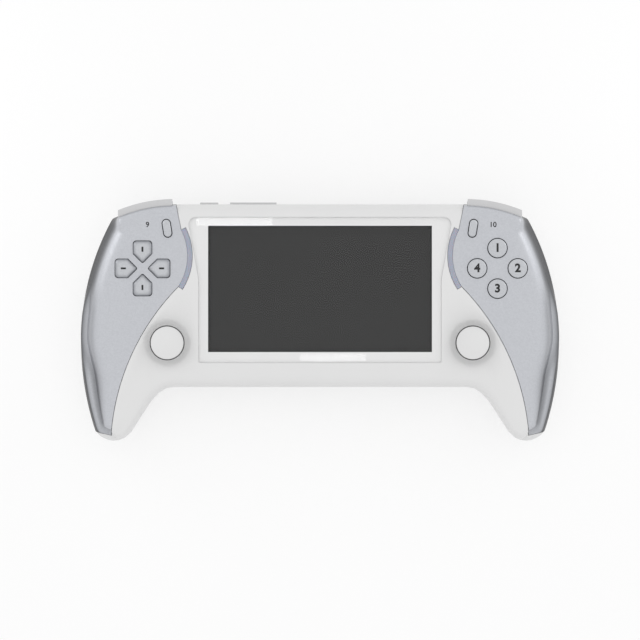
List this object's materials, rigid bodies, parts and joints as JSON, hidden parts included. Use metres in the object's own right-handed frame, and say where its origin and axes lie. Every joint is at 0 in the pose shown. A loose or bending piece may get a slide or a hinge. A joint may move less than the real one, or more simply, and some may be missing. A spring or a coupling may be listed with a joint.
{
  "type": "handheld game console",
  "caption": "Handheld game console with a wide display between horned grips, a direction pad, round buttons, thumbsticks and shoulder keys.",
  "frame": {"origin": "under the middle of the console's box, on the surface that the grips lie on", "axes": "+X to the right of the display, +Y towards the shoulder keys, +Z out of the display"},
  "size_m": [0.2036, 0.1028, 0.0354],
  "materials": {
    "white_plastic": "satin moulded plastic",
    "silver_paint": "plastic painted with fine silver flake",
    "key_plastic": "glossy silver plastic",
    "light_guide": "translucent lavender plastic",
    "window_glass": "clear and polished",
    "white_print": "white print",
    "display": "dark panel, switched off",
    "steel": "plain",
    "circuit_board": "green lacquer",
    "black_plastic": "plain",
    "battery_wrap": "plain wrap",
    "silicone": "soft"
  },
  "bodies": {
    "case": {"front_shell": "white_plastic", "rear_shell": "white_plastic", "left_grip_cover": "silver_paint", "right_grip_cover": "silver_paint", "left_light_strip": "light_guide", "right_light_strip": "light_guide", "screen_window": "window_glass", "window_mask": "white_print", "display_panel": "display", "display_backlight": "steel", "main_board": "circuit_board", "battery": "battery_wrap", "left_button_board": "circuit_board", "right_button_board": "circuit_board", "left_membrane": "silicone", "right_membrane": "silicone", "left_shoulder_pin": "steel", "right_shoulder_pin": "steel", "left_shoulder_switches": "black_plastic", "right_shoulder_switches": "black_plastic", "left_stick_base": "black_plastic", "right_stick_base": "black_plastic", "left_speaker": "black_plastic", "right_speaker": "black_plastic", "charging_socket": "steel", "headphone_socket": "black_plastic", "card_socket": "steel", "top_switches": "black_plastic", "case_screws": "steel", "board_screws": "steel", "button_board_screws": "steel"},
    "dpad_up": {"dpad_up_key": "key_plastic"},
    "dpad_right": {"dpad_right_key": "key_plastic"},
    "dpad_down": {"dpad_down_key": "key_plastic"},
    "dpad_left": {"dpad_left_key": "key_plastic"},
    "top_button_body": {"top_button": "key_plastic"},
    "right_button_body": {"right_button": "key_plastic"},
    "bottom_button_body": {"bottom_button": "key_plastic"},
    "left_button_body": {"left_button": "key_plastic"},
    "select": {"select_key": "key_plastic"},
    "start": {"start_key": "key_plastic"},
    "power": {"power_key": "white_plastic"},
    "volume": {"volume_key": "white_plastic"},
    "left_shoulder": {"left_shoulder_key": "white_plastic"},
    "left_trigger": {"left_trigger_key": "white_plastic"},
    "right_shoulder": {"right_shoulder_key": "white_plastic"},
    "right_trigger": {"right_trigger_key": "white_plastic"},
    "left_yoke": {"left_stick_yoke": "steel"},
    "left_stick": {"left_stick_shaft": "steel", "left_stick_cap": "white_plastic"},
    "right_yoke": {"right_stick_yoke": "steel"},
    "right_stick": {"right_stick_shaft": "steel", "right_stick_cap": "white_plastic"}
  },
  "joints": [
    {"name": "dpad_up_press", "type": "slide", "parent": "case", "child": "dpad_up", "axis": [0, 0, -1], "range_m": [0, 0.0012], "stiffness_N_per_m": 800, "springref_m": -0.0003, "deforming": ["left_membrane"]},
    {"name": "dpad_right_press", "type": "slide", "parent": "case", "child": "dpad_right", "axis": [0, 0, -1], "range_m": [0, 0.0012], "stiffness_N_per_m": 800, "springref_m": -0.0003, "deforming": ["left_membrane"]},
    {"name": "dpad_down_press", "type": "slide", "parent": "case", "child": "dpad_down", "axis": [0, 0, -1], "range_m": [0, 0.0012], "stiffness_N_per_m": 800, "springref_m": -0.0003, "deforming": ["left_membrane"]},
    {"name": "dpad_left_press", "type": "slide", "parent": "case", "child": "dpad_left", "axis": [0, 0, -1], "range_m": [0, 0.0012], "stiffness_N_per_m": 800, "springref_m": -0.0003, "deforming": ["left_membrane"]},
    {"name": "top_button_press", "type": "slide", "parent": "case", "child": "top_button_body", "axis": [0, 0, -1], "range_m": [0, 0.0012], "stiffness_N_per_m": 800, "springref_m": -0.0003, "deforming": ["right_membrane"]},
    {"name": "right_button_press", "type": "slide", "parent": "case", "child": "right_button_body", "axis": [0, 0, -1], "range_m": [0, 0.0012], "stiffness_N_per_m": 800, "springref_m": -0.0003, "deforming": ["right_membrane"]},
    {"name": "bottom_button_press", "type": "slide", "parent": "case", "child": "bottom_button_body", "axis": [0, 0, -1], "range_m": [0, 0.0012], "stiffness_N_per_m": 800, "springref_m": -0.0003, "deforming": ["right_membrane"]},
    {"name": "left_button_press", "type": "slide", "parent": "case", "child": "left_button_body", "axis": [0, 0, -1], "range_m": [0, 0.0012], "stiffness_N_per_m": 800, "springref_m": -0.0003, "deforming": ["right_membrane"]},
    {"name": "select_press", "type": "slide", "parent": "case", "child": "select", "axis": [0, 0, -1], "range_m": [0, 0.0012], "stiffness_N_per_m": 800, "springref_m": -0.0003, "deforming": ["left_membrane"]},
    {"name": "start_press", "type": "slide", "parent": "case", "child": "start", "axis": [0, 0, -1], "range_m": [0, 0.0012], "stiffness_N_per_m": 800, "springref_m": -0.0003, "deforming": ["right_membrane"]},
    {"name": "power_press", "type": "slide", "parent": "case", "child": "power", "axis": [0, -1, 0], "range_m": [0, 0.0005], "stiffness_N_per_m": 1500, "springref_m": -0.0002},
    {"name": "volume_rock", "type": "hinge", "parent": "case", "child": "volume", "pos_m": [-0.0284, 0.0456, 0.0169], "axis": [0, 0, 1], "range_deg": [-2.5, 2.5], "stiffness_Nm_per_rad": 0.1},
    {"name": "left_shoulder_press", "type": "hinge", "parent": "case", "child": "left_shoulder", "pos_m": [-0.0648, 0.0458, 0.024], "axis": [0, 0, 1], "range_deg": [0, 4], "stiffness_Nm_per_rad": 0.4, "springref_deg": -1.15},
    {"name": "left_trigger_press", "type": "hinge", "parent": "case", "child": "left_trigger", "pos_m": [-0.0648, 0.0458, 0.0146], "axis": [0, 0, 1], "range_deg": [0, 4], "stiffness_Nm_per_rad": 0.4, "springref_deg": -1.15},
    {"name": "right_shoulder_press", "type": "hinge", "parent": "case", "child": "right_shoulder", "pos_m": [0.0648, 0.0458, 0.024], "axis": [0, 0, -1], "range_deg": [0, 4], "stiffness_Nm_per_rad": 0.4, "springref_deg": -1.15},
    {"name": "right_trigger_press", "type": "hinge", "parent": "case", "child": "right_trigger", "pos_m": [0.0648, 0.0458, 0.0146], "axis": [0, 0, -1], "range_deg": [0, 4], "stiffness_Nm_per_rad": 0.4, "springref_deg": -1.15},
    {"name": "left_stick_forward", "type": "hinge", "parent": "case", "child": "left_yoke", "pos_m": [-0.0648, -0.0097, 0.022], "axis": [1, 0, 0], "range_deg": [-12, 12], "stiffness_Nm_per_rad": 0.06},
    {"name": "left_stick_sideways", "type": "hinge", "parent": "left_yoke", "child": "left_stick", "pos_m": [-0.0648, -0.0097, 0.022], "axis": [0, 1, 0], "range_deg": [-12, 12], "stiffness_Nm_per_rad": 0.06},
    {"name": "right_stick_forward", "type": "hinge", "parent": "case", "child": "right_yoke", "pos_m": [0.0648, -0.0097, 0.022], "axis": [1, 0, 0], "range_deg": [-12, 12], "stiffness_Nm_per_rad": 0.06},
    {"name": "right_stick_sideways", "type": "hinge", "parent": "right_yoke", "child": "right_stick", "pos_m": [0.0648, -0.0097, 0.022], "axis": [0, 1, 0], "range_deg": [-12, 12], "stiffness_Nm_per_rad": 0.06}
  ]
}
